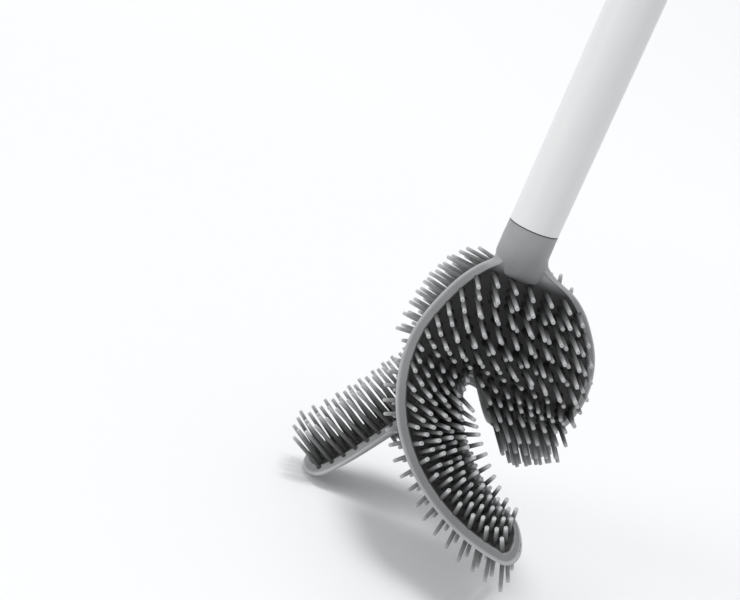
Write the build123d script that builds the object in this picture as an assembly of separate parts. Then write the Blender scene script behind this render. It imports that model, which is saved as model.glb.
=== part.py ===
"""Toilet brush: a round white handle and a soft grey bristled head that splits into two curling arms.

Frame: +Z runs up the handle towards the hand, and the origin is the centre of the handle's lower end.
The front of the head faces -Y, and the head hangs below the origin. All sizes are in millimetres.

The head is a vesica-shaped plate under the neck. Below the hinge level its left half becomes arm A,
a crescent that curls forwards, and its right half becomes arm B, which folds back behind the plate
and comes out at the lower left. Plate and arms are each a stiff core between two soft pads, inside
a soft rim, with long and short bristles on both faces.
"""

from build123d import *
import math
import os

# ---------------------------------------------------------------- driving dimensions
HANDLE_RADIUS = 10.0
HANDLE_WALL = 1.8
TUBE_LENGTH = 240.0
CAP_LENGTH = 22.0
CAP_PLUG_LENGTH = 16.0
EYE_RADIUS = 3.0
EYE_HEIGHT = TUBE_LENGTH + 12.0

PLUG_LENGTH = 34.0
STUD_RADIUS = 5.0
STUD_LENGTH = 26.0
STUD_CLEARANCE = 0.05
SEAL_THICKNESS = 0.8
SEAL_INSET = 0.3

NECK_BOTTOM = -18.0
NECK_LEAN = 5.2
NECK_WAIST_LEVEL = -9.0
NECK_WAIST_HALF = (10.2, 9.0)
NECK_FOOT_HALF = (15.8, 3.4)
SOCKET_RADIUS = 6.5
SOCKET_DEPTH = 12.0

SKIN_HALF = 2.6
CORE_HALF = 0.8
RIM_WIDTH = 2.4
PAD_INSET = 0.6
PAD_BEVEL = 3.0

HINGE_LEVEL = -64.0
HINGE_GAP = 2.0

CURL_RADIUS = 88.0
CURL_START = (-3.6, -42.0)
CUP_LENGTH = 45.0
FLAT_FROM_X = 30.0

PLATE_LEFT_ARC = (24.0, -63.0, 52.7)
PLATE_RIGHT_ARC = (5.5, -60.0, 43.5)
LEFT_SHOULDER = (7.2, 30.0)
RIGHT_SHOULDER = (4.4, 17.0)
OUTER_ARC = (22.2, -64.0, 50.9)
INNER_ARC = (37.3, -64.9, 37.8)
ARM_A_OUTER_SWEEP = 106.0
ARM_A_INNER_SWEEP = 88.0
ARM_A_TIP_RADIUS = 7.0

# Edges of arm B from its hinge to its tip: near edge and far edge, each a smooth curve.
ARM_B_NEAR = [
    (1.0, -2.8, HINGE_LEVEL),
    (11.5, 0.0, -79.0),
    (18.0, 9.0, -86.5),
    (15.0, 20.0, -81.0),
    (5.0, 21.5, -79.0),
    (-4.0, 17.5, -91.0),
    (-15.5, 13.5, -106.0),
    (-31.0, 8.5, -127.0),
    (-44.0, 6.0, -141.0),
]
ARM_B_FAR = [
    (48.8, 0.0, HINGE_LEVEL),
    (46.8, 1.0, -73.5),
    (46.0, 10.0, -77.5),
    (40.0, 33.0, -71.0),
    (21.0, 49.0, -66.0),
    (2.0, 41.0, -88.0),
    (-12.5, 36.0, -105.0),
    (-32.5, 31.0, -124.5),
    (-49.5, 28.0, -138.0),
]
ARM_B_TIP_RADIUS = 11.5
ARM_B_FOLD_LEAN = (0.34, 0.0, 0.0)
ARM_B_TAIL_LEAN = (-0.2, 0.15, -0.1)
ARM_B_FOLD_SHARE = 0.4
ARM_B_STUB_SHARES = (0.66, 0.78)
ARM_A_CROSSING_SHARE = 0.3

BRISTLE_BASE_RADIUS = 0.9
BRISTLE_TIP_RADIUS = 0.7
BRISTLE_ROOT = 0.5
BRISTLE_GAP = 0.7
LONG_BRISTLE = 23.0
MIDDLE_BRISTLE = 14.5
EDGE_BRISTLE = 12.5
HINGE_BRISTLE = 11.0
ARM_A_TIP_SHARE = 0.62
ARM_A_OUTER_SHARE = 0.65
ARM_A_RIGHT_LEAN = 0.18
ARM_A_DOWN_LEAN = 0.3
ARM_A_DOWN_SHARE = 0.5
BACK_EDGE_BRISTLE = 19.5
PLATE_BACK_LEAN = (0.36, 0.7)
PLATE_BACK_DROOP = 0.17
RIGHT_LEAN_SHARE = 0.4
ARM_A_BACK_LEAN = 0.28
ARM_B_BACK_LEAN = 0.1
FOLD_NEAR_BRISTLE = 20.0
FOLD_FAR_BRISTLE = 11.0
CROSSING_BRISTLE = 13.0
STUB_BRISTLE = 5.0
ARM_A_BACK_BRISTLES = (16.0, 21.0)
TAIL_BRISTLES = (22.0, 18.0)
LEAST_BRISTLE = 4.0

# Distances from row to row and from column to column.
ARM_PITCHES = (7.0, 4.5)
ARM_A_BACK_PITCHES = (4.6, 2.8)
TAIL_PITCHES = (6.2, 3.6)
PLATE_PITCHES = (6.85, 6.8)
PLATE_BACK_PITCHES = (4.5, 2.9)
BACK_STAGGER = 1.0

EDGE_MARGIN = 4.4
BACK_EDGE_MARGIN = 3.8
BACK_TOP_MARGIN = 1.2
NEIGHBOUR_REACH = 14.0
HINGE_ROW = 3.5
HINGE_SHORT_ZONE = 5.0

PLATE_STATIONS = 12
PLATE_FACETS = 10
ARM_STATIONS = 22
TIP_STATIONS = (0.35, 0.6, 0.8, 0.92, 0.985)


# ---------------------------------------------------------------- small maths
def smooth_step(t):
    t = min(1.0, max(0.0, t))
    return t * t * (3 - 2 * t)


def lerp(a, b, t):
    return a + (b - a) * t


def smooth_curve(points, t):
    """Catmull-Rom curve through the points, with t from 0 to 1."""
    last = len(points) - 1
    index = min(int(t * last), last - 1)
    f = t * last - index
    p1, p2 = Vector(points[index]), Vector(points[index + 1])
    p0 = Vector(points[index - 1]) if index > 0 else p1 * 2 - p2
    p3 = Vector(points[index + 2]) if index + 2 <= last else p2 * 2 - p1
    m1, m2 = (p2 - p0) * 0.5, (p3 - p1) * 0.5
    h1 = 2 * f**3 - 3 * f**2 + 1
    h2 = f**3 - 2 * f**2 + f
    h3 = -2 * f**3 + 3 * f**2
    h4 = f**3 - f**2
    return p1 * h1 + m1 * h2 + p2 * h3 + m2 * h4


# ---------------------------------------------------------------- the head's mid-surfaces
def curl_depth(x, z):
    """How far the curled sheet stands forward of the handle's plane: part of a large sphere."""
    down = max(0.0, CURL_START[1] - z)
    across = (x - CURL_START[0]) * smooth_step(down / CUP_LENGTH)
    return CURL_RADIUS - math.sqrt(CURL_RADIUS**2 - across**2 - down**2)


def plate_point(x, z):
    """The plate follows the curl on its left and is flat on its right."""
    share = 1 - smooth_step(x / FLAT_FROM_X)
    return Vector(x, -share * curl_depth(x, z), z)


def plate_edge(arc, side, shoulder, z):
    """An arc's edge at a level, spread out into the neck over the shoulder's length."""
    cx, cz, r = arc
    flare, length = shoulder
    share = max(0.0, 1 - (NECK_BOTTOM - z) / length)
    return cx + side * (math.sqrt(r**2 - (z - cz) ** 2) + flare * share**2)


def plate_left(z):
    return plate_edge(PLATE_LEFT_ARC, -1, LEFT_SHOULDER, z)


def plate_right(z):
    return plate_edge(PLATE_RIGHT_ARC, 1, RIGHT_SHOULDER, z)


def arc_point(arc, sweep):
    cx, cz, r = arc
    angle = math.radians(180 + sweep)
    x, z = cx + r * math.cos(angle), cz + r * math.sin(angle)
    return Vector(x, -curl_depth(x, z), z)


def arm_a_edges(t):
    return arc_point(OUTER_ARC, ARM_A_OUTER_SWEEP * t), arc_point(INNER_ARC, ARM_A_INNER_SWEEP * t)


def arm_b_edges(t):
    return smooth_curve(ARM_B_FAR, t), smooth_curve(ARM_B_NEAR, t)


class Ribbon:
    """A strip between two edge curves, with a rounded tip and its front face along normal()."""

    steps = 240

    def __init__(self, edges, tip_radius, front):
        self.edges = edges
        self.tip_radius = tip_radius
        self.front = front
        middles = [self.point(i / self.steps, 0.5) for i in range(self.steps + 1)]
        self.lengths = [0.0]
        for a, b in zip(middles, middles[1:]):
            self.lengths.append(self.lengths[-1] + (b - a).length)
        self.length = self.lengths[-1]

    def point(self, t, v):
        a, b = self.edges(t)
        return lerp(a, b, v)

    def normal(self, t, v=0.5):
        step = 0.004
        along = self.point(min(1.0, t + step), v) - self.point(max(0.0, t - step), v)
        a, b = self.edges(t)
        return (b - a).cross(along).normalized() * self.front

    def at_length(self, s):
        """The parameter t at a distance s along the middle of the strip."""
        for i in range(self.steps):
            if self.lengths[i + 1] >= s:
                part = (s - self.lengths[i]) / (self.lengths[i + 1] - self.lengths[i])
                return (i + part) / self.steps
        return 1.0

    def length_at(self, t):
        i = min(int(t * self.steps), self.steps - 1)
        return lerp(self.lengths[i], self.lengths[i + 1], t * self.steps - i)

    def half_width(self, t):
        """Half the width at t, drawn in to a round tip over the last tip_radius."""
        a, b = self.edges(t)
        half = (b - a).length / 2
        left = self.length - self.length_at(t)
        if left < self.tip_radius:
            half *= math.sqrt(max(0.0, 1 - (1 - left / self.tip_radius) ** 2))
        return half

    def stations(self, start, inset):
        """Parameters from start to where the strip, drawn in by inset, has almost no width left."""
        body = self.length - self.tip_radius
        places = [lerp(start, body, i / ARM_STATIONS) for i in range(ARM_STATIONS + 1)]
        places += [body + self.tip_radius * share for share in TIP_STATIONS]
        found = [self.at_length(s) for s in places]
        return [t for t in found if self.half_width(t) - inset > 0.6]

    def section(self, t, corners):
        """A flat outline across the strip. Each corner is a place across and a height, in mm."""
        a, b = self.edges(t)
        across, middle, n = (b - a).normalized(), self.point(t, 0.5), self.normal(t)
        return Wire.make_polygon([middle + across * c + n * h for c, h in corners], close=True)

    def slab(self, start, low_inset, low, high_inset, high):
        """A layer from height low to height high, drawn in from the edges by an inset at each."""
        wires = []
        for t in self.stations(start, max(low_inset, high_inset)):
            low_half, high_half = self.half_width(t) - low_inset, self.half_width(t) - high_inset
            corners = [(-low_half, low), (low_half, low), (high_half, high), (-high_half, high)]
            wires.append(self.section(t, corners))
        return Solid.make_loft(wires, True)

    def rim(self, start):
        """Two beads, one along each edge, that meet at the tip."""
        beads = []
        for side in (-1, 1):
            wires = []
            for t in self.stations(start, 0.0):
                outer = side * self.half_width(t)
                inner = side * max(0.0, abs(outer) - RIM_WIDTH)
                corners = [(inner, -CORE_HALF), (outer, -CORE_HALF), (outer, CORE_HALF), (inner, CORE_HALF)]
                wires.append(self.section(t, corners))
            beads.append(Solid.make_loft(wires, True))
        return Compound(children=beads)


# ---------------------------------------------------------------- bristles
def gap_between(first, second):
    """The shortest distance between points spaced along two bristles' centre lines."""
    (a, da, la), (b, db, lb) = first, second
    places = [i / 5 for i in range(6)]
    return min((a + da * la * i - b - db * lb * j).length for i in places for j in places)


def add_bristle(found, root, direction, length):
    """Adds a bristle where there is room for it beside those already on this face."""
    new = (root, direction, length)
    near = [old for old in found if (old[0] - root).length < NEIGHBOUR_REACH]
    least = 2 * BRISTLE_BASE_RADIUS + BRISTLE_GAP
    if length >= LEAST_BRISTLE and all(gap_between(new, old) > least for old in near):
        found.append(new)


def bristle_solids(found):
    solids = []
    for root, direction, length in found:
        plane = Plane(origin=root - direction * BRISTLE_ROOT, z_dir=direction)
        height = length + BRISTLE_ROOT
        solids.append(Solid.make_cone(BRISTLE_BASE_RADIUS, BRISTLE_TIP_RADIUS, height, plane))
    return Compound(children=solids)


def spread(low, high, pitch):
    """Evenly spaced places from low to high, about a pitch apart."""
    count = max(1, round((high - low) / pitch))
    return [lerp(low, high, i / count) for i in range(count + 1)]


def edge_rule(side):
    """The margin and the bristle length beside the rim, on the front or on the back."""
    return (EDGE_MARGIN, EDGE_BRISTLE) if side > 0 else (BACK_EDGE_MARGIN, BACK_EDGE_BRISTLE)


def row_places(side, last, pitch):
    """Places of the long rows and, on the front, of the middle rows between them, each with its kind."""
    longs = [HINGE_ROW + i * pitch for i in range(int((last - HINGE_ROW) / pitch) + 1)]
    if side < 0:
        return [(s, False) for s in longs]
    middles = [s + pitch / 2 for s in longs if s + pitch / 2 <= last]
    return [(s, False) for s in longs] + [(s, True) for s in middles]


def columns(low, high, pitch, is_middle):
    """Places across a row; those of a middle row lie halfway between those of a long row."""
    places = spread(low, high, pitch)
    if is_middle:
        return [(a + b) / 2 for a, b in zip(places, places[1:])]
    return places


def staggered(side, place, index, last):
    """On the back, the bristles of a row stand in steps of three; none passes the row's limits."""
    if side > 0:
        return place
    return min(max(place + BACK_STAGGER * (index % 3 - 1), HINGE_ROW), last)


def ribbon_bristles(ribbon, side, pitches, room, lean, edge_lean, short_edges):
    """Rows across one face of an arm: long bristles, with shorter ones beside the named edges."""
    found = []
    row_pitch, column_pitch = pitches
    margin, edge_length = edge_rule(side)
    last = ribbon.length - margin
    for s, is_middle in row_places(side, last, row_pitch):
        half = ribbon.half_width(ribbon.at_length(s)) - margin
        if half < column_pitch / 2:
            continue
        for i, across in enumerate(columns(-half, half, column_pitch, is_middle)):
            t = ribbon.at_length(staggered(side, s, i, last))
            a, b = ribbon.edges(t)
            v = 0.5 + across / (b - a).length
            share = across / half
            outward = (b - a).normalized() * edge_lean * share
            n = ribbon.normal(t, v) * side
            at_edge = abs(share) > 0.9 and (1 if share > 0 else -1) in short_edges
            length = edge_length if at_edge else LONG_BRISTLE
            if is_middle:
                length = MIDDLE_BRISTLE
            if s < HINGE_SHORT_ZONE:
                length = HINGE_BRISTLE
            root = ribbon.point(t, v) + n * SKIN_HALF
            add_bristle(found, root, (n + outward + lean(t, v)).normalized(), min(length, room(t, v)))
    return found


def plate_normal(x, z):
    step = 0.5
    dx = plate_point(x + step, z) - plate_point(x - step, z)
    dz = plate_point(x, z + step) - plate_point(x, z - step)
    return dx.cross(dz).normalized()


def plate_bristles(side, pitches, room):
    found = []
    row_pitch, column_pitch = pitches
    margin, edge_length = edge_rule(side)
    height = NECK_BOTTOM - HINGE_LEVEL - (margin if side > 0 else BACK_TOP_MARGIN)
    for up, is_middle in row_places(side, height, row_pitch):
        level = HINGE_LEVEL + up
        low, high = plate_left(level) + margin, plate_right(level) - margin
        edge_lean = 0.0 if side > 0 else lerp(*PLATE_BACK_LEAN, up / height)
        for i, place in enumerate(columns(low, high, column_pitch, is_middle)):
            share = 2 * (place - low) / (high - low) - 1
            z = HINGE_LEVEL + staggered(side, up, i, height)
            x = min(max(place, plate_left(z) + margin), plate_right(z) - margin)
            lean = edge_lean * share * (RIGHT_LEAN_SHARE if share > 0 else 1)
            droop = PLATE_BACK_DROOP * -share if side < 0 and share < 0 else 0.0
            n = plate_normal(x, z) * side
            length = edge_length if abs(share) > 0.98 else LONG_BRISTLE
            if is_middle:
                length = MIDDLE_BRISTLE
            if up < HINGE_SHORT_ZONE:
                length = HINGE_BRISTLE
            root = plate_point(x, z) + n * SKIN_HALF
            add_bristle(found, root, (n + Vector(lean, 0, -droop)).normalized(), min(length, room(x, z)))
    return found


# ---------------------------------------------------------------- the plate
def plate_levels():
    bottom = HINGE_LEVEL + HINGE_GAP / 2
    return [lerp(NECK_BOTTOM, bottom, i / PLATE_STATIONS) for i in range(PLATE_STATIONS + 1)]


def plate_row(z, inset, height):
    """Points across the plate at a level, drawn in from its edges and moved forward."""
    left, right = plate_left(z) + inset, plate_right(z) - inset
    places = [lerp(left, right, i / PLATE_FACETS) for i in range(PLATE_FACETS + 1)]
    return [plate_point(x, z) + Vector(0, -height, 0) for x in places]


def plate_slab(low_inset, low, high_inset, high):
    wires = []
    for z in plate_levels():
        outline = plate_row(z, low_inset, low) + plate_row(z, high_inset, high)[::-1]
        wires.append(Wire.make_polygon(outline, close=True))
    return Solid.make_loft(wires, True)


def plate_rim():
    beads = []
    forward = Vector(0, -CORE_HALF, 0)
    for edge, side in ((plate_left, 1), (plate_right, -1)):
        wires = []
        for z in plate_levels():
            outer = plate_point(edge(z), z)
            inner = plate_point(edge(z) + side * RIM_WIDTH, z)
            corners = [outer + forward, inner + forward, inner - forward, outer - forward]
            wires.append(Wire.make_polygon(corners, close=True))
        beads.append(Solid.make_loft(wires, True))
    return Compound(children=beads)


# ---------------------------------------------------------------- neck, stud and handle
def neck_sleeve():
    top = Plane.XY.offset(-SEAL_THICKNESS) * Circle(HANDLE_RADIUS)
    waist = Plane.XY.offset(NECK_WAIST_LEVEL) * Pos(NECK_LEAN * 0.2, 0) * Ellipse(*NECK_WAIST_HALF)
    foot = Plane.XY.offset(NECK_BOTTOM) * Pos(NECK_LEAN, 0) * Ellipse(*NECK_FOOT_HALF)
    body = loft([top, waist, foot])
    socket = Pos(0, 0, -SEAL_THICKNESS) * Cylinder(
        SOCKET_RADIUS, SOCKET_DEPTH, align=(Align.CENTER, Align.CENTER, Align.MAX)
    )
    return body - socket


def neck_stud():
    foot = Pos(0, 0, -SEAL_THICKNESS) * Cylinder(
        SOCKET_RADIUS, SOCKET_DEPTH, align=(Align.CENTER, Align.CENTER, Align.MAX)
    )
    shank = Pos(0, 0, -SEAL_THICKNESS) * Cylinder(
        STUD_RADIUS, STUD_LENGTH + SEAL_THICKNESS, align=(Align.CENTER, Align.CENTER, Align.MIN)
    )
    lead_in = chamfer(shank.edges().group_by(Axis.Z)[-1], 1.0)
    return foot + lead_in


def seal_ring():
    depth = (Align.CENTER, Align.CENTER, Align.MAX)
    outer = Cylinder(HANDLE_RADIUS - SEAL_INSET, SEAL_THICKNESS, align=depth)
    return outer - Cylinder(STUD_RADIUS, SEAL_THICKNESS, align=depth)


def handle_tube():
    height = (Align.CENTER, Align.CENTER, Align.MIN)
    outer = Cylinder(HANDLE_RADIUS, TUBE_LENGTH, align=height)
    return outer - Cylinder(HANDLE_RADIUS - HANDLE_WALL, TUBE_LENGTH, align=height)


def handle_plug():
    height = (Align.CENTER, Align.CENTER, Align.MIN)
    body = Cylinder(HANDLE_RADIUS - HANDLE_WALL, PLUG_LENGTH, align=height)
    bore = Cylinder(STUD_RADIUS + STUD_CLEARANCE, STUD_LENGTH + 2.0, align=height)
    return body - bore


def handle_cap():
    height = (Align.CENTER, Align.CENTER, Align.MIN)
    crown = Pos(0, 0, TUBE_LENGTH) * Cylinder(HANDLE_RADIUS, CAP_LENGTH, align=height)
    crown = fillet(crown.edges().group_by(Axis.Z)[-1], 6.0)
    plug = Pos(0, 0, TUBE_LENGTH - CAP_PLUG_LENGTH) * Cylinder(
        HANDLE_RADIUS - HANDLE_WALL, CAP_PLUG_LENGTH, align=height
    )
    eye = Pos(0, 0, EYE_HEIGHT) * Rot(90, 0, 0) * Cylinder(EYE_RADIUS, 3 * HANDLE_RADIUS)
    return crown + plug - eye


# ---------------------------------------------------------------- assembly
def open_room(*_):
    return LONG_BRISTLE


def arm_a_front_room(t, v):
    """Arm A's front bristles get shorter towards its tip and towards its outer edge."""
    across = lerp(ARM_A_OUTER_SHARE, 1.0, v)
    return LONG_BRISTLE * across * lerp(1.0, ARM_A_TIP_SHARE, smooth_step((t - 0.55) / 0.4))


def plate_back_room(x, z):
    """Behind the lower right of the plate, the folded arm B leaves room only for stubs."""
    return STUB_BRISTLE if x > -8.0 and z < -36.0 else LONG_BRISTLE


def arm_a_back_room(t, v):
    """Arm B crosses behind the top of arm A's inner half."""
    if v > 0.5 and t < ARM_A_CROSSING_SHARE:
        return CROSSING_BRISTLE
    return lerp(*ARM_A_BACK_BRISTLES, smooth_step((t - 0.5) / 0.4))


def arm_b_back_room(t, _v):
    """The back of arm B lies inside its own fold until the strip has come out of it."""
    return lerp(*TAIL_BRISTLES, smooth_step((t - 0.6) / 0.35)) if t > 0.56 else 0.0


def arm_b_front_room(t, v):
    """Arm B's front has long bristles on the fold, shorter to the right, and a few stubs beyond."""
    first, last = ARM_B_STUB_SHARES
    if t > ARM_B_FOLD_SHARE:
        return STUB_BRISTLE if first < t < last else 0.0
    return lerp(FOLD_FAR_BRISTLE, FOLD_NEAR_BRISTLE, v)


def upright(_t, _v):
    return Vector(0, 0, 0)


def arm_a_lean(t, v):
    """Arm A's front bristles lean right by its inner edge, and down where the arm leaves the plate."""
    down = ARM_A_DOWN_LEAN * (1 - smooth_step(t / ARM_A_DOWN_SHARE))
    return Vector(ARM_A_RIGHT_LEAN * v, 0, -down)


def tail_lean(_t, _v):
    """The bristles on arm B's tail lean towards its tip."""
    return Vector(ARM_B_TAIL_LEAN)


def fold_lean(t, _v):
    """The bristles on arm B's fold lean to the right, most at the middle of the fold."""
    share = smooth_step(t / 0.2) * (1 - smooth_step((t - 0.3) / 0.2))
    return Vector(ARM_B_FOLD_LEAN) * share


def layers(slab, rim):
    """Core, pads and rim, which lie on each other face to face."""
    return {
        "core": slab(RIM_WIDTH, -CORE_HALF, RIM_WIDTH, CORE_HALF),
        "front_pad": slab(PAD_INSET, CORE_HALF, PAD_INSET + PAD_BEVEL, SKIN_HALF),
        "back_pad": slab(PAD_INSET, -CORE_HALF, PAD_INSET + PAD_BEVEL, -SKIN_HALF),
        "rim": rim,
    }


arm_start = HINGE_GAP / 2
arm_a = Ribbon(arm_a_edges, ARM_A_TIP_RADIUS, -1)
arm_b = Ribbon(arm_b_edges, ARM_B_TIP_RADIUS, 1)

both_edges = (-1, 1)
bristles = {
    "plate_front_bristles": plate_bristles(1, PLATE_PITCHES, open_room),
    "plate_back_bristles": plate_bristles(-1, PLATE_BACK_PITCHES, plate_back_room),
    "arm_a_front_bristles": ribbon_bristles(
        arm_a, 1, ARM_PITCHES, arm_a_front_room, arm_a_lean, 0.0, (-1,)
    ),
    "arm_a_back_bristles": ribbon_bristles(
        arm_a, -1, ARM_A_BACK_PITCHES, arm_a_back_room, upright, ARM_A_BACK_LEAN, both_edges
    ),
    "arm_b_front_bristles": ribbon_bristles(
        arm_b, 1, ARM_PITCHES, arm_b_front_room, fold_lean, 0.0, both_edges
    ),
    "arm_b_back_bristles": ribbon_bristles(
        arm_b, -1, TAIL_PITCHES, arm_b_back_room, tail_lean, ARM_B_BACK_LEAN, ()
    ),
}

nodes = {
    "handle_tube": handle_tube(),
    "handle_plug": handle_plug(),
    "handle_cap": handle_cap(),
    "seal_ring": seal_ring(),
    "neck_stud": neck_stud(),
    "neck_sleeve": neck_sleeve(),
}
for layer, shape in layers(plate_slab, plate_rim()).items():
    nodes["plate_" + layer] = shape
for arm, ribbon in (("arm_a", arm_a), ("arm_b", arm_b)):
    def arm_slab(*sizes):
        return ribbon.slab(arm_start, *sizes)

    for layer, shape in layers(arm_slab, ribbon.rim(arm_start)).items():
        nodes[arm + "_" + layer] = shape
for name, found in bristles.items():
    nodes[name] = bristle_solids(found)

os.makedirs("parts", exist_ok=True)
for name, shape in nodes.items():
    export_step(shape, "parts/" + name + ".step")
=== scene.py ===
"""A white-handled toilet brush whose soft grey head splits into two curling bristled arms."""

import math
import random

import bmesh
import bpy
import numpy as np
from mathutils import Matrix, Vector


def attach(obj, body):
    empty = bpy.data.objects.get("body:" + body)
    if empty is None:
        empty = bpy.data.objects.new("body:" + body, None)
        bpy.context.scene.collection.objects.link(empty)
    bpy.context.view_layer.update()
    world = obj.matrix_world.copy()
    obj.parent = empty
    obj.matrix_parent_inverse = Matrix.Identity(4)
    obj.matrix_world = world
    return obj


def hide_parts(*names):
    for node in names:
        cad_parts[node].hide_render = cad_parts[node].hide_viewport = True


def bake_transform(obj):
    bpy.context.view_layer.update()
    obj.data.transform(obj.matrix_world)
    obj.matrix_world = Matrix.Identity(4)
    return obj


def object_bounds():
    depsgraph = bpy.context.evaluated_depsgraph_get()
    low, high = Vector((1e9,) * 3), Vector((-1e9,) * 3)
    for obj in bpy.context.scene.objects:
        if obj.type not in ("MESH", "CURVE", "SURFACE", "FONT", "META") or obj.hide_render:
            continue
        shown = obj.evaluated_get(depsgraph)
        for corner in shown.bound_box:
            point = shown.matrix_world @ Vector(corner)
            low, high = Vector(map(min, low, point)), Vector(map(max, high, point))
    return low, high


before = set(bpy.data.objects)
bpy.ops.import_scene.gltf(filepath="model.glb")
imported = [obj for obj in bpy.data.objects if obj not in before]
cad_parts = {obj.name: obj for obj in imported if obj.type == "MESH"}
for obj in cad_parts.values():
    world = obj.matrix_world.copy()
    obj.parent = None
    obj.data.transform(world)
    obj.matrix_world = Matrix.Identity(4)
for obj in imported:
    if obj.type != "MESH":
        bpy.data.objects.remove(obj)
cad_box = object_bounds()

MM = 0.001

# ---------------------------------------------------------------- the head's shape, in millimetres
NECK_BOTTOM = -18.0
HINGE_LEVEL = -64.0
PLATE_END = -60.0
ARM_START = -57.0
SPLIT_X = 0.2

# The web behind the neck. Each side: x at its top, and the power with which it flares into the plate.
WEB_TOP = -4.0
WEB_RISE = 13.0
WEB_TOP_THICKNESS = 0.3
WEB_LEFT = (-10.2, 6)
WEB_RIGHT = (9.8, 2)

CURL_RADIUS = 88.0
CURL_START = (-3.6, -42.0)
CUP_LENGTH = 45.0
FLAT_FROM_X = 30.0

# Outlines: each arc is its centre x, centre z and radius, and each shoulder its flare and length.
PLATE_LEFT_ARC = (24.0, -63.0, 52.7)
PLATE_RIGHT_ARC = (5.5, -60.0, 43.5)
LEFT_SHOULDER = (7.2, 30.0)
RIGHT_SHOULDER = (4.4, 17.0)
OUTER_ARC = (22.2, -64.0, 50.9)
INNER_ARC = (37.3, -64.9, 37.8)
ARM_A_SWEEPS = (106.0, 88.0)
ARM_A_TIP_RADIUS = 7.0

# The arms' first rows lie inside the plate's end, a little thinner than it. Below it the slit between
# the arms opens, and the bevels beside the slit grow from a squeezed share to their full width.
INNER_ROWS = 7
INNER_ROWS_END = HINGE_LEVEL + 0.4
INNER_THIN = 0.01
INNER_THIN_END = PLATE_END - 0.5
SLIT_HALF = 0.12
SLIT_RUN = 3.0
SLIT_BEVEL_SHARES = (0.05, 0.35)
SLIT_BEVEL_RUN = 4.0
FULL_BEVEL_LENGTH = 6.0
FIRST_FREE_LENGTH = 1.0

# Edges of arm B from the fork, over the fold and behind the plate, to its tip.
ARM_B_NEAR = [
    (1.0, -2.8, HINGE_LEVEL),
    (11.5, 0.0, -79.0),
    (18.0, 9.0, -86.5),
    (15.0, 20.0, -81.0),
    (5.0, 21.5, -79.0),
    (-4.0, 17.5, -91.0),
    (-15.5, 13.5, -106.0),
    (-31.0, 8.5, -127.0),
    (-44.0, 6.0, -141.0),
]
ARM_B_FAR = [
    (48.8, 0.0, HINGE_LEVEL),
    (46.8, 1.0, -73.5),
    (46.0, 10.0, -77.5),
    (40.0, 33.0, -71.0),
    (21.0, 49.0, -66.0),
    (2.0, 41.0, -88.0),
    (-12.5, 36.0, -105.0),
    (-32.5, 31.0, -124.5),
    (-49.5, 28.0, -138.0),
]
ARM_B_TIP_RADIUS = 11.5

# The skin's half thickness at a distance in from its outline: a parting ridge, a bevel up to a crest,
# and a step down to the face. The last value sets the painted light: 0 on the rim, low on the ridge and
# the crest for painted highlights, and 1 on the face, painted dark as shade between the bristles.
EDGE_PROFILE = [
    (0.0, 0.0, 0.0),
    (0.12, 0.4, 0.0),
    (0.5, 0.72, 0.0),
    (0.9, 0.86, 0.1),
    (1.3, 1.1, 0.3),
    (2.9, 2.3, 0.3),
    (3.3, 2.52, 0.15),
    (3.7, 2.5, 0.5),
    (4.1, 2.2, 0.85),
    (4.8, 2.05, 1.0),
]
FACE_HALF = 2.05
FACE_CUTS = 14
LEAST_STEP = 0.02
HALVINGS = 24
PLATE_ROWS = 60
ARM_ROWS = 110
ARM_STATIONS = 400
TANGENT_STEP = 0.004
TIP_ROWS = 14
LAST_TIP_ROWS = (0.75, 0.5, 0.25, 0.1, 0.02)
SMOOTHING_PASSES = 3
FIRST_SMOOTHED_ROW = 6
UNSMOOTHED_TIP_ROWS = 20

# The painted shade on the plate's face fades in from this level, below the neck.
PAINTED_SHADE_TOP = -17.0
PAINTED_SHADE_FADE = 5.0

# Neck rings: level, centre x, half width, front depth, back depth, and the sharpness of the sides. Above 1
# the sides turn hollow and run out into the web.
NECK_RINGS = [
    (-0.4, 0.0, 9.8, 9.8, 9.8, 1.0),
    (-0.6, 0.0, 10.0, 10.0, 10.0, 1.0),
    (-3.5, 0.0, 10.05, 9.9, 9.9, 1.0),
    (-7.0, 0.0, 10.2, 9.3, 9.2, 1.0),
    (-10.0, 0.15, 10.35, 8.5, 8.2, 1.25),
    (-13.0, 0.7, 10.9, 7.5, 6.9, 1.8),
    (-15.8, 1.7, 11.0, 6.4, 5.6, 2.1),
    (-18.0, 2.5, 9.5, 5.5, 4.6, 1.6),
    (-19.7, 2.8, 8.4, 4.6, 3.8, 1.2),
    (-20.8, 2.8, 7.6, 3.6, 3.1, 0.9),
    (-21.4, 2.8, 6.6, 2.8, 2.6, 0.8),
    (-21.7, 2.8, 5.0, 2.2, 2.2, 0.8),
]
NECK_SIDES = 64
NECK_STEPS = 4

# Bristles: rings along the shaft, each a distance and a radius as a share of the shaft's own. Root
# rings count up from the pad's surface and form a fillet. Tip rings count back from the tip, with a
# small chamfer and a dimple.
BRISTLE_SIDES = 12
ROOT_DEPTH = 0.5
ROOT_RINGS = [(-0.9, 1.6), (-0.5, 1.45), (-0.25, 1.18), (0.2, 1.0)]
SHAFT_START = 0.7
SHAFT_RINGS = 4
TIP_RINGS = [(0.22, 1.0), (0.06, 0.93), (0.0, 0.78), (0.0, 0.56), (0.22, 0.44)]
SPLAY = math.tan(math.radians(1.6)) * 0.5
LENGTH_SPREAD = 0.02
SHAFT_FULLNESS = 1.14
BRISTLE_RADII = (0.9 * MM, 0.7 * MM)
FORK_MARGIN = 3.0
HINGE_MARGIN = 5.0
HINGE_COLUMN_PITCH = 5.4
HINGE_REACH = 14.0
HINGE_DOWN_LEAN = 0.15

HANDLE_RADIUS = 10.0
HANDLE_WALL = 1.8
TUBE_LENGTH = 240.0
HANDLE_SIDES = 96
HANDLE_CUTS = 24
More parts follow.
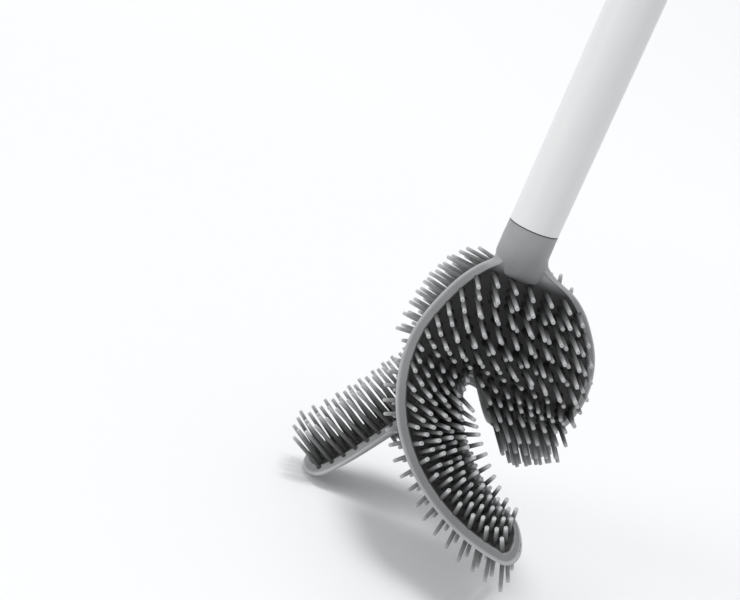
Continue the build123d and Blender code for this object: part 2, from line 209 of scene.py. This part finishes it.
# The rounded lower edge as insets and heights, and the chamfer of the upper edge.
LOWER_ROUND = [(0.3, 0.0), (0.08, 0.09), (0.0, 0.35)]
CHAMFER = 0.2
CHAMFER_HEIGHT = 0.3

# ---------------------------------------------------------------- small maths


def smooth_step(t):
    t = min(1.0, max(0.0, t))
    return t * t * (3 - 2 * t)


def lerp(a, b, t):
    return a + (b - a) * t


def smooth_curve(points, t):
    """Catmull-Rom curve through the points, with t from 0 to 1."""
    last = len(points) - 1
    index = min(int(t * last), last - 1)
    f = t * last - index
    p1, p2 = Vector(points[index]), Vector(points[index + 1])
    p0 = Vector(points[index - 1]) if index > 0 else p1 * 2 - p2
    p3 = Vector(points[index + 2]) if index + 2 <= last else p2 * 2 - p1
    m1, m2 = (p2 - p0) * 0.5, (p3 - p1) * 0.5
    h1 = 2 * f**3 - 3 * f**2 + 1
    h2 = f**3 - 2 * f**2 + f
    h3 = -2 * f**3 + 3 * f**2
    h4 = f**3 - f**2
    return p1 * h1 + m1 * h2 + p2 * h3 + m2 * h4


def profile_at(distance):
    """Half the skin's thickness, and its share of painted shade, at a distance in from its outline."""
    for (d0, h0, f0), (d1, h1, f1) in zip(EDGE_PROFILE, EDGE_PROFILE[1:]):
        if distance <= d1:
            share = (distance - d0) / (d1 - d0)
            return lerp(h0, h1, share), lerp(f0, f1, share)
    return FACE_HALF, 1.0


# ---------------------------------------------------------------- mid-surfaces


def curl_depth(x, z):
    down = max(0.0, CURL_START[1] - z)
    side = (x - CURL_START[0]) * smooth_step(down / CUP_LENGTH)
    return CURL_RADIUS - math.sqrt(CURL_RADIUS**2 - side**2 - down**2)


def plate_point(x, z):
    share = 1 - smooth_step(x / FLAT_FROM_X)
    return Vector((x, -share * curl_depth(x, z), z))


def plate_normal(x, z):
    step = 0.5
    dx = plate_point(x + step, z) - plate_point(x - step, z)
    dz = plate_point(x, z + step) - plate_point(x, z - step)
    return dx.cross(dz).normalized()


def plate_edge(arc, side, shoulder, z):
    cx, cz, r = arc
    flare, length = shoulder
    share = max(0.0, 1 - (NECK_BOTTOM - z) / length)
    return cx + side * (math.sqrt(r**2 - (z - cz) ** 2) + flare * share**2)


def web_edge(edge, web, z):
    """Above the neck's foot, the plate's edge runs on up behind the neck as a web that narrows."""
    top_x, power = web
    step = 0.5
    slope = (edge(NECK_BOTTOM - step) - edge(NECK_BOTTOM)) / step
    run = WEB_TOP - NECK_BOTTOM
    t = (WEB_TOP - z) / run
    return lerp(top_x, edge(NECK_BOTTOM), smooth_step(t)) + slope * run * (t - 1) * t**power


def plate_left(z):
    if z > NECK_BOTTOM:
        return web_edge(plate_left, WEB_LEFT, z)
    return plate_edge(PLATE_LEFT_ARC, -1, LEFT_SHOULDER, z)


def plate_right(z):
    if z > NECK_BOTTOM:
        return web_edge(plate_right, WEB_RIGHT, z)
    return plate_edge(PLATE_RIGHT_ARC, 1, RIGHT_SHOULDER, z)


def arc_point(arc, sweep):
    cx, cz, r = arc
    angle = math.radians(180 + sweep)
    x, z = cx + r * math.cos(angle), cz + r * math.sin(angle)
    return Vector((x, -curl_depth(x, z), z))


def arm_a_edges(t):
    return arc_point(OUTER_ARC, ARM_A_SWEEPS[0] * t), arc_point(INNER_ARC, ARM_A_SWEEPS[1] * t)


def arm_b_edges(t):
    return smooth_curve(ARM_B_NEAR, t), smooth_curve(ARM_B_FAR, t)


# ---------------------------------------------------------------- rows of skin


def distance_in(u, half, q, tip_radius):
    """How far a place lies in from the outline, where q runs from 0 to 1 over the rounded tip."""
    radius = math.hypot(u / half, q)
    sideways = (u / half / radius) ** 2 if radius > 0 else 1.0
    return (1 - radius) * lerp(tip_radius, half, sideways)


def place_at_distance(distance, half, q, tip_radius, edge_place):
    low, high = 0.0, edge_place
    for _ in range(HALVINGS):
        u = (low + high) / 2
        if distance_in(u, half, q, tip_radius) > distance:
            low = u
        else:
            high = u
    return (low + high) / 2


def places_across(half, left_share, right_share, q=0.0, tip_radius=1.0):
    """From left to right across a section: each place, the half thickness there and its share of painted
    shade.

    A share below 1 squeezes the bevel of that edge.
    """
    edge_place = half * math.sqrt(1 - q * q)
    count = len(EDGE_PROFILE)
    edge = []
    for k, (d, _, _) in enumerate(EDGE_PROFILE):
        least = LEAST_STEP * edge_place * (count - k)
        u = max(least, place_at_distance(d, half, q, tip_radius, edge_place)) if k else edge_place
        edge.append((edge_place - u, *profile_at(distance_in(u, half, q, tip_radius))))
    left = [(d * left_share - edge_place, h, lerp(1.0, f, left_share)) for d, h, f in edge]
    right = [(edge_place - d * right_share, h, lerp(1.0, f, right_share)) for d, h, f in reversed(edge)]
    low, high = left[-1], right[0]
    inner = [(lerp(low[0], high[0], i / FACE_CUTS), low[1], low[2]) for i in range(1, FACE_CUTS)]
    return left + inner + right


def closed_row(fronts, backs):
    """A closed loop: the front from left to right, then the back from right to left."""
    return fronts + backs[1:-1][::-1]


def plate_section(z, left_x, right_x, left_share, right_share, thin=0.0):
    fronts, backs = [], []
    # Painted shade on the face, faded out towards the neck.
    painted_shade_below_neck = smooth_step((PAINTED_SHADE_TOP - z) / PAINTED_SHADE_FADE)
    web_thickness = lerp(WEB_TOP_THICKNESS, 1.0, smooth_step((WEB_TOP - z) / WEB_RISE))
    for place, height, face in places_across((right_x - left_x) / 2, left_share, right_share):
        x = (left_x + right_x) / 2 + place
        middle, n = plate_point(x, z), plate_normal(x, z)
        height = max(0.0, height - thin) * web_thickness
        fronts.append((middle + n * height, face * painted_shade_below_neck))
        backs.append((middle - n * height, face * painted_shade_below_neck))
    return closed_row(fronts, backs)


def ribbon_section(middle, across, normal, places):
    fronts = [(middle + across * u + normal * height, face) for u, height, face in places]
    backs = [(middle + across * u - normal * height, face) for u, height, face in places]
    return closed_row(fronts, backs)


def inner_rows(split_side):
    """Sections from inside the plate's end down to the fork."""
    rows = []
    for i in range(INNER_ROWS):
        z = lerp(ARM_START, INNER_ROWS_END, i / (INNER_ROWS - 1))
        gap = SLIT_HALF * smooth_step((PLATE_END - z) / SLIT_RUN)
        bevel = lerp(*SLIT_BEVEL_SHARES, smooth_step((PLATE_END - z) / SLIT_BEVEL_RUN))
        thin = INNER_THIN if z > INNER_THIN_END else 0.0
        if split_side > 0:
            rows.append(plate_section(z, plate_left(z), SPLIT_X - gap, 1.0, bevel, thin))
        else:
            rows.append(plate_section(z, SPLIT_X + gap, plate_right(z), bevel, 1.0, thin))
    return rows


def measure_ribbon(edges):
    """The ribbon's length along its middle, and a function from a length to its share of the curve."""
    middles = [lerp(*edges(i / ARM_STATIONS), 0.5) for i in range(ARM_STATIONS + 1)]
    lengths = [0.0]
    for a, b in zip(middles, middles[1:]):
        lengths.append(lengths[-1] + (b - a).length)

    def share_at(s):
        for i in range(ARM_STATIONS):
            if lengths[i + 1] >= s:
                return (i + (s - lengths[i]) / (lengths[i + 1] - lengths[i])) / ARM_STATIONS
        return 1.0

    return lengths[-1], share_at


def smoothed(rows):
    """The rows, each point averaged with those before and after it, except at the ends."""
    result = list(rows)
    for i in range(FIRST_SMOOTHED_ROW, len(rows) - UNSMOOTHED_TIP_ROWS):
        result[i] = [
            ((a + b * 2 + c) / 4, face)
            for (a, _), (b, face), (c, _) in zip(rows[i - 1], rows[i], rows[i + 1])
        ]
    return result


def arm_rows(edges, tip_radius, split_side):
    """Sections from inside the plate's end, over the fork and along the arm to its round tip.

    split_side is 1 if the arm's right edge lies along the fork, and -1 if its left edge does.
    """
    rows = inner_rows(split_side)
    total, share_at = measure_ribbon(edges)
    stops = [lerp(FIRST_FREE_LENGTH, total - tip_radius, i / ARM_ROWS) for i in range(ARM_ROWS)]
    stops += [total - tip_radius * (1 - i / TIP_ROWS) for i in range(TIP_ROWS - 1)]
    stops += [total - d for d in LAST_TIP_ROWS]
    for s in stops:
        t = share_at(s)
        a, b = edges(t)
        after, before = edges(min(1.0, t + TANGENT_STEP)), edges(max(0.0, t - TANGENT_STEP))
        along = lerp(*after, 0.5) - lerp(*before, 0.5)
        normal = along.cross(b - a).normalized()
        q = max(0.0, 1 - (total - s) / tip_radius)
        bevel = lerp(SLIT_BEVEL_SHARES[1], 1.0, smooth_step(s / FULL_BEVEL_LENGTH))
        left_share, right_share = (1.0, bevel) if split_side > 0 else (bevel, 1.0)
        places = places_across((b - a).length / 2, left_share, right_share, q, tip_radius)
        rows.append(ribbon_section(lerp(a, b, 0.5), (b - a).normalized(), normal, places))
    for _ in range(SMOOTHING_PASSES):
        rows = smoothed(rows)
    return rows


def new_piece(name, built):
    """An object in the scene from a bmesh, which is freed."""
    mesh = bpy.data.meshes.new(name)
    built.to_mesh(mesh)
    built.free()
    piece = bpy.data.objects.new(name, mesh)
    bpy.context.scene.collection.objects.link(piece)
    return piece


def mesh_from_rows(name, rows, capped=True):
    """A smooth mesh through equal closed rows of (point in millimetres, share of painted shade), the share
    stored as a vertex attribute.
    """
    built = bmesh.new()
    painted_shade_layer = built.verts.layers.float.new("face")
    rings = []
    for row in rows:
        ring = []
        for point, face in row:
            vert = built.verts.new(point * MM)
            vert[painted_shade_layer] = face
            ring.append(vert)
        rings.append(ring)
    for low, high in zip(rings, rings[1:]):
        for i in range(len(low)):
            j = (i + 1) % len(low)
            built.faces.new((low[i], low[j], high[j], high[i]))
    caps = [rings[0][::-1], rings[-1]] if capped else []
    for cap in caps:
        for edge in built.faces.new(cap).edges:
            edge.smooth = False
    bmesh.ops.recalc_face_normals(built, faces=built.faces)
    for polygon in built.faces:
        polygon.smooth = len(polygon.verts) == 4
    return new_piece(name, built)


# ---------------------------------------------------------------- materials

NOISE_LOW = 0.3
NOISE_HIGH = 0.7
SPECULAR = 0.5
RUBBER_ROUGHNESS = (0.34, 0.5)


def new_material(name, base, roughness):
    """A Principled material, with its node tree and its shader to build on."""
    material = bpy.data.materials.new(name)
    material.use_nodes = True
    shader = material.node_tree.nodes["Principled BSDF"]
    shader.inputs["Base Color"].default_value = (*base, 1.0)
    shader.inputs["Roughness"].default_value = roughness
    return material, material.node_tree, shader


def add_noise(tree, scale, detail, stretch=(1.0, 1.0, 1.0)):
    coordinate = tree.nodes.new("ShaderNodeTexCoord")
    mapping = tree.nodes.new("ShaderNodeMapping")
    mapping.inputs["Scale"].default_value = stretch
    noise = tree.nodes.new("ShaderNodeTexNoise")
    noise.inputs["Scale"].default_value = scale
    noise.inputs["Detail"].default_value = detail
    tree.links.new(coordinate.outputs["Object"], mapping.inputs["Vector"])
    tree.links.new(mapping.outputs["Vector"], noise.inputs["Vector"])
    return noise.outputs["Fac"]


def add_ramp(tree, factor, stops):
    ramp = tree.nodes.new("ShaderNodeValToRGB")
    ramp.color_ramp.elements[0].position = stops[0][0]
    ramp.color_ramp.elements[0].color = (*stops[0][1], 1.0)
    ramp.color_ramp.elements[1].position = stops[-1][0]
    ramp.color_ramp.elements[1].color = (*stops[-1][1], 1.0)
    for position, colour in stops[1:-1]:
        ramp.color_ramp.elements.new(position).color = (*colour, 1.0)
    tree.links.new(factor, ramp.inputs["Fac"])
    return ramp.outputs["Color"]


def add_range(tree, factor, low, high):
    mapped = tree.nodes.new("ShaderNodeMapRange")
    mapped.inputs["From Min"].default_value = NOISE_LOW
    mapped.inputs["From Max"].default_value = NOISE_HIGH
    mapped.inputs["To Min"].default_value = low
    mapped.inputs["To Max"].default_value = high
    tree.links.new(factor, mapped.inputs["Value"])
    return mapped.outputs["Result"]


def add_bump(tree, shader, height, strength, distance):
    bump = tree.nodes.new("ShaderNodeBump")
    bump.inputs["Strength"].default_value = strength
    bump.inputs["Distance"].default_value = distance
    tree.links.new(height, bump.inputs["Height"])
    tree.links.new(bump.outputs["Normal"], shader.inputs["Normal"])


def grey(value):
    """A faintly cool grey."""
    return (value, value * 1.005, value * 1.015)


def attribute_ramp(tree, name, stops):
    attribute = tree.nodes.new("ShaderNodeAttribute")
    attribute.attribute_name = name
    return add_ramp(tree, attribute.outputs["Fac"], stops)


def multiply(tree, first, second):
    mix = tree.nodes.new("ShaderNodeMix")
    mix.data_type = "RGBA"
    mix.blend_type = "MULTIPLY"
    mix.inputs["Factor"].default_value = 1.0
    tree.links.new(first, mix.inputs["A"])
    tree.links.new(second, mix.inputs["B"])
    return mix.outputs["Result"]


def add_clouds(tree, shader, colour, scale, detail, darkest):
    """Soft patches in the base colour, down to a share of it."""
    cloud = add_noise(tree, scale, detail)
    shade = add_ramp(tree, cloud, [(NOISE_LOW, (darkest,) * 3), (NOISE_HIGH, (1.0, 1.0, 1.0))])
    tree.links.new(multiply(tree, colour, shade), shader.inputs["Base Color"])


def add_grain(tree, shader, scale, detail, roughness, strength, distance):
    """Fine grain in the roughness, between two values, and in the surface."""
    fine = add_noise(tree, scale, detail)
    tree.links.new(add_range(tree, fine, *roughness), shader.inputs["Roughness"])
    add_bump(tree, shader, fine, strength, distance)
    shader.inputs["Specular IOR Level"].default_value = SPECULAR


def soft_rubber(name, rim, face, grain=2600.0):
    """Moulded soft rubber, cloudy and grained, from the rim's grey to the face's grey: a paler rim is
    painted highlight and a darker face is painted shade.
    """
    material, tree, shader = new_material(name, grey(rim), 0.55)
    # Painted light along the face share: the rim's grey at 0, half way at 0.3, the face's painted shade at
    # 1.
    stops = [(0.0, grey(rim)), (0.3, grey(lerp(rim, face, 0.5))), (1.0, grey(face))]
    add_clouds(tree, shader, attribute_ramp(tree, "face", stops), 70.0, 4.0, 0.86)
    add_grain(tree, shader, grain, 3.0, RUBBER_ROUGHNESS, 0.22, 0.2 * MM)
    return material


def bristle_rubber_painted_light():
    """The same rubber, with painted shade darkening the roots and painted highlight on the tips."""
    material, tree, shader = new_material("bristle_rubber_painted_light", grey(0.3), 0.5)
    # Painted shade near the roots, painted highlight towards the tips, along each shaft.
    stops = [(0.0, grey(0.035)), (0.3, grey(0.1)), (0.75, grey(0.26)), (1.0, grey(0.6))]
    add_clouds(tree, shader, attribute_ramp(tree, "along", stops), 160.0, 3.0, 0.85)
    add_grain(tree, shader, 3200.0, 2.0, RUBBER_ROUGHNESS, 0.15, 0.15 * MM)
    return material


def white_plastic(name, level, roughness):
    """Satin moulded plastic with a very faint lengthwise flow."""
    white = (level, level, level * 0.995)
    material, tree, shader = new_material(name, white, roughness)
    flow = add_noise(tree, 30.0, 3.0, (6.0, 6.0, 0.6))
    colour = add_ramp(tree, flow, [(NOISE_LOW, (level * 0.965,) * 3), (NOISE_HIGH, white)])
    tree.links.new(colour, shader.inputs["Base Color"])
    add_grain(tree, shader, 1800.0, 3.0, (roughness - 0.04, roughness + 0.06), 0.06, 0.1 * MM)
    return material


# The skin's pale rim grey holds painted highlight and its near-black face grey holds painted shade.
skin_material = soft_rubber("soft_skin_painted_light", 0.46, 0.035)
neck_material = soft_rubber("soft_neck", 0.36, 0.36)
bristle_material = bristle_rubber_painted_light()
core_material = soft_rubber("stiff_core", 0.16, 0.16, 900.0)
seal_material = soft_rubber("dark_seal", 0.025, 0.025)
handle_material = white_plastic("satin_white", 0.84, 0.32)
plug_material = white_plastic("plain_white", 0.75, 0.48)


def paint(piece, material):
    piece.data.materials.clear()
    piece.data.materials.append(material)


# ---------------------------------------------------------------- skins


def finish_piece(piece, material, nodes):
    paint(piece, material)
    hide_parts(*nodes)


def skin_nodes(group):
    return [group + "_" + layer for layer in ("front_pad", "back_pad", "rim")]


plate_levels = [lerp(WEB_TOP, PLATE_END, i / PLATE_ROWS) for i in range(PLATE_ROWS + 1)]
plate_rows = [plate_section(z, plate_left(z), plate_right(z), 1.0, 1.0) for z in plate_levels]
plate_skin = mesh_from_rows("plate_skin", plate_rows)
finish_piece(plate_skin, skin_material, skin_nodes("plate"))
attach(plate_skin, "head")

arm_a_skin = mesh_from_rows("arm_a_skin", arm_rows(arm_a_edges, ARM_A_TIP_RADIUS, 1))
finish_piece(arm_a_skin, skin_material, skin_nodes("arm_a"))
arm_b_skin = mesh_from_rows("arm_b_skin", arm_rows(arm_b_edges, ARM_B_TIP_RADIUS, -1))
finish_piece(arm_b_skin, skin_material, skin_nodes("arm_b"))


def at(x, y, z):
    return (x * MM, y * MM, z * MM)


# For each arm, two points: one at the plate's end and one as far below the hinge line, under the middle of
# its root.
BLEND_END = 2 * HINGE_LEVEL - PLATE_END
ARM_A_BLEND = (at(-14.6, -3.0, PLATE_END), at(-14.6, -3.0, BLEND_END))
ARM_B_BLEND = (at(25, -1.0, PLATE_END), at(25, 2.0, BLEND_END))
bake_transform(arm_a_skin)
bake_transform(arm_b_skin)

# ---------------------------------------------------------------- neck


def neck_ring(level, centre, half, front, back, sharpness):
    ring = []
    for i in range(NECK_SIDES):
        angle = 2 * math.pi * i / NECK_SIDES
        across, out = math.cos(angle), math.sin(angle)
        depth = front if out < 0 else back
        y = math.copysign(depth * abs(out) ** sharpness, out)
        middle = plate_point(centre + half * across, level)
        ring.append((Vector((centre + half * across, y + middle.y, level)), 0.0))
    return ring


def between_rings(rings, steps):
    """More rings on a smooth curve through the given ones."""
    fine = []
    count = (len(rings) - 1) * steps
    firsts = [ring[:3] for ring in rings]
    lasts = [ring[3:] for ring in rings]
    for i in range(count + 1):
        t = i / count
        fine.append((*smooth_curve(firsts, t), *smooth_curve(lasts, t)))
    return fine


neck_rows = [neck_ring(*ring) for ring in between_rings(NECK_RINGS, NECK_STEPS)]
neck_skin = mesh_from_rows("neck_skin", neck_rows)
finish_piece(neck_skin, neck_material, ["neck_sleeve"])
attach(neck_skin, "head")

# ---------------------------------------------------------------- bristles

MERGE_DISTANCE = 0.001 * MM
END_RING_DEPTH = 0.1 * MM


def find_shafts(node):
    """Root, tip and their radii of every cone in a CAD bristle node."""
    source = bmesh.new()
    source.from_mesh(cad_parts[node].data)
    bmesh.ops.remove_doubles(source, verts=source.verts, dist=MERGE_DISTANCE)
    seen, shafts = set(), []
    for start in source.verts:
        if start in seen:
            continue
        island, queue = [], [start]
        seen.add(start)
        while queue:
            vert = queue.pop()
            island.append(np.array(vert.co))
            for edge in vert.link_edges:
                other = edge.other_vert(vert)
                if other not in seen:
                    seen.add(other)
                    queue.append(other)
        points = np.array(island)
        centre = points.mean(axis=0)
        axis = np.linalg.svd(points - centre)[2][0]
        along = (points - centre) @ axis
        ends = []
        for end in (along.min(), along.max()):
            ring = points[np.abs(along - end) < END_RING_DEPTH]
            middle = ring.mean(axis=0)
            ends.append((np.linalg.norm(ring - middle, axis=1).max(), middle))
        ends.sort(key=lambda item: -item[0])
        (root_radius, root), (tip_radius, tip) = ends
        shafts.append((Vector(root), Vector(tip), float(root_radius), float(tip_radius)))
    source.free()
    return shafts


def add_shaft(built, along_layer, root, tip, root_radius, tip_radius, chance):
    """One bristle: a fillet at its root, a tapered shaft, and a chamfered tip with a dimple."""
    axis = tip - root
    length = axis.length
    splay = Vector((chance.gauss(0, 1), chance.gauss(0, 1), chance.gauss(0, 1))) * SPLAY
    axis = (axis / length + splay).normalized()
    length *= 1 - LENGTH_SPREAD * chance.random()
    side = axis.orthogonal().normalized()
    other = axis.cross(side)
    surface = ROOT_DEPTH * MM
    low, high = surface + SHAFT_START * MM, length - TIP_RINGS[0][0] * MM
    levels = [(surface + d * MM, share) for d, share in ROOT_RINGS]
    levels += [(lerp(low, high, i / SHAFT_RINGS), 1.0) for i in range(1, SHAFT_RINGS)]
    levels += [(length - d * MM, share) for d, share in TIP_RINGS]
    rings = []
    for distance, share in levels:
        t = distance / length
        radius = lerp(root_radius, tip_radius, t) * share * SHAFT_FULLNESS
        ring = []
        for i in range(BRISTLE_SIDES):
            angle = 2 * math.pi * i / BRISTLE_SIDES
            place = root + axis * distance + (side * math.cos(angle) + other * math.sin(angle)) * radius
            vert = built.verts.new(place)
            # The share along the shaft places the painted shade at the root and the painted highlight at
            # the tip.
            vert[along_layer] = t
            ring.append(vert)
        rings.append(ring)
    for low, high in zip(rings, rings[1:]):
        for i in range(BRISTLE_SIDES):
            j = (i + 1) % BRISTLE_SIDES
            built.faces.new((low[i], low[j], high[j], high[i])).smooth = True
    built.faces.new(rings[0][::-1])
    built.faces.new(rings[-1])


def bristle_piece(name, shafts, seed):
    """One piece of bristles from the root, tip and radii of each shaft, in metres."""
    chance = random.Random(seed)
    built = bmesh.new()
    along_layer = built.verts.layers.float.new("along")
    for shaft in shafts:
        add_shaft(built, along_layer, *shaft, chance)
    return new_piece(name, built)


def make_bristles(node, body):
    piece = bristle_piece(node + "_detailed", find_shafts(node), node)
    finish_piece(piece, bristle_material, [node])
    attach(piece, body)


def hinge_bristles(arm, left_x, right_x, blend_start, blend_end):
    """The front row on the hinge line itself."""
    shafts = []
    count = round((right_x - left_x) / HINGE_COLUMN_PITCH)
    for i in range(count + 1):
        x = lerp(left_x, right_x, i / count)
        middle, normal = plate_point(x, HINGE_LEVEL), plate_normal(x, HINGE_LEVEL)
        lean = Vector((0.0, 0.0, -HINGE_DOWN_LEAN))
        root, tip = middle + normal * FACE_HALF, middle + (normal + lean).normalized() * HINGE_REACH
        shafts.append((root * MM, tip * MM, *BRISTLE_RADII))
    piece = bristle_piece(arm + "_hinge_bristles", shafts, arm)
    paint(piece, bristle_material)
    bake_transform(piece)


for group, body in (("plate", "head"), ("arm_a", "arm_a"), ("arm_b", "arm_b")):
    make_bristles(group + "_front_bristles", body)
    make_bristles(group + "_back_bristles", body)
    paint(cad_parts[group + "_core"], core_material)
hinge_bristles("arm_a", plate_left(HINGE_LEVEL) + HINGE_MARGIN, SPLIT_X - FORK_MARGIN, *ARM_A_BLEND)
hinge_bristles("arm_b", SPLIT_X + FORK_MARGIN, plate_right(HINGE_LEVEL) - HINGE_MARGIN, *ARM_B_BLEND)

# ---------------------------------------------------------------- handle


def lathe(name, profile, sides):
    """A closed ring of sections turned about the Z axis, from a closed profile of (radius, height)."""
    rows = []
    for i in range(sides):
        angle = 2 * math.pi * i / sides
        turn = Vector((math.cos(angle), math.sin(angle), 0))
        rows.append([(turn * r + Vector((0, 0, z)), 0.0) for r, z in profile])
    return mesh_from_rows(name, rows + [rows[0]], capped=False)


def tube_profile():
    """The tube's wall: up its outside from the rounded lower edge, and down its inside."""
    inner = HANDLE_RADIUS - HANDLE_WALL
    low, high = LOWER_ROUND[-1][1], TUBE_LENGTH - CHAMFER_HEIGHT
    profile = [(HANDLE_RADIUS - inset, height) for inset, height in LOWER_ROUND]
    profile += [(HANDLE_RADIUS, lerp(low, high, i / HANDLE_CUTS)) for i in range(1, HANDLE_CUTS + 1)]
    profile += [(HANDLE_RADIUS - CHAMFER, TUBE_LENGTH), (inner, TUBE_LENGTH)]
    profile += [(inner, lerp(high, low, i / HANDLE_CUTS)) for i in range(HANDLE_CUTS + 1)]
    return profile + [(inner + CHAMFER, 0.0)]


handle_tube = lathe("handle_tube_turned", tube_profile(), HANDLE_SIDES)
finish_piece(handle_tube, handle_material, ["handle_tube"])
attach(handle_tube, "handle")

paint(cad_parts["handle_cap"], handle_material)
paint(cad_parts["handle_plug"], plug_material)
paint(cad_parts["neck_stud"], core_material)
paint(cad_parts["seal_ring"], seal_material)

# ---------------------------------------------------------------- floor, light and camera
# In metres: the floor lies just under the brush, and behind it sweeps up into a wall.
FLOOR_LEVEL = cad_box[0][2] - 0.0005
FLOOR_SIDES = (-3.0, 3.0)
FLOOR_ENDS = (-2.5, 4.0)
FLOOR_ROWS = 60
FLOOR_COLUMNS = 13
SWEEP_START = 1.2
SWEEP_LENGTH = 2.0
SWEEP_RISE = 1.1
SKY_COLOUR = (0.96, 0.98, 1.0, 1.0)
SKY_STRENGTH = 0.52
CAMERA_ANGLE = math.radians(40.83)


def floor_row(run):
    turn = min(1.0, max(0.0, (run - SWEEP_START) / SWEEP_LENGTH)) * math.pi / 2
    level = FLOOR_LEVEL + SWEEP_RISE * (1 - math.cos(turn))
    last = FLOOR_COLUMNS - 1
    return [Vector((lerp(*FLOOR_SIDES, j / last), run, level)) for j in range(FLOOR_COLUMNS)]


floor_built = bmesh.new()
floor_verts = []
for i in range(FLOOR_ROWS):
    row = floor_row(lerp(*FLOOR_ENDS, i / (FLOOR_ROWS - 1)))
    floor_verts.append([floor_built.verts.new(point) for point in row])
for low, high in zip(floor_verts, floor_verts[1:]):
    for a, b, c, d in zip(low, low[1:], high[1:], high):
        floor_built.faces.new((a, b, c, d)).smooth = True
floor = new_piece("floor", floor_built)
paint(floor, new_material("pale_floor", (0.9, 0.9, 0.9), 0.6)[0])

world = bpy.data.worlds.new("studio")
bpy.context.scene.world = world
world.use_nodes = True
world.node_tree.nodes["Background"].inputs["Color"].default_value = SKY_COLOUR
world.node_tree.nodes["Background"].inputs["Strength"].default_value = SKY_STRENGTH
bpy.context.scene.view_settings.view_transform = "Standard"


def soft_sun(name, direction, spread, strength):
    """A broad even light that shines along a direction, as from a large soft box far away."""
    light = bpy.data.lights.new(name, "SUN")
    light.angle = math.radians(spread)
    light.energy = strength
    lamp = bpy.data.objects.new(name, light)
    lamp.rotation_euler = Vector(direction).to_track_quat("-Z", "Y").to_euler()
    bpy.context.scene.collection.objects.link(lamp)


soft_sun("key", direction=(0.05, -0.12, -1.0), spread=20.0, strength=1.6)
soft_sun("left", direction=(0.9, 0.3, -0.4), spread=30.0, strength=0.75)

CAMERA_PLACE = Vector((-0.0843, -0.3720, 0.0745))
CAMERA_RIGHT = Vector((0.935, 0.029, 0.354)).normalized()
CAMERA_BACK = Vector((-0.091, -0.944, 0.318))
CAMERA_BACK = (CAMERA_BACK - CAMERA_RIGHT * CAMERA_BACK.dot(CAMERA_RIGHT)).normalized()
CAMERA_UP = CAMERA_BACK.cross(CAMERA_RIGHT)
camera_data = bpy.data.cameras.new("camera")
camera_data.sensor_fit = "HORIZONTAL"
camera_data.angle = CAMERA_ANGLE
camera = bpy.data.objects.new("camera", camera_data)
turn = Matrix((CAMERA_RIGHT, CAMERA_UP, CAMERA_BACK)).transposed()
camera.matrix_world = Matrix.Translation(CAMERA_PLACE) @ turn.to_4x4()
bpy.context.scene.collection.objects.link(camera)
bpy.context.scene.camera = camera
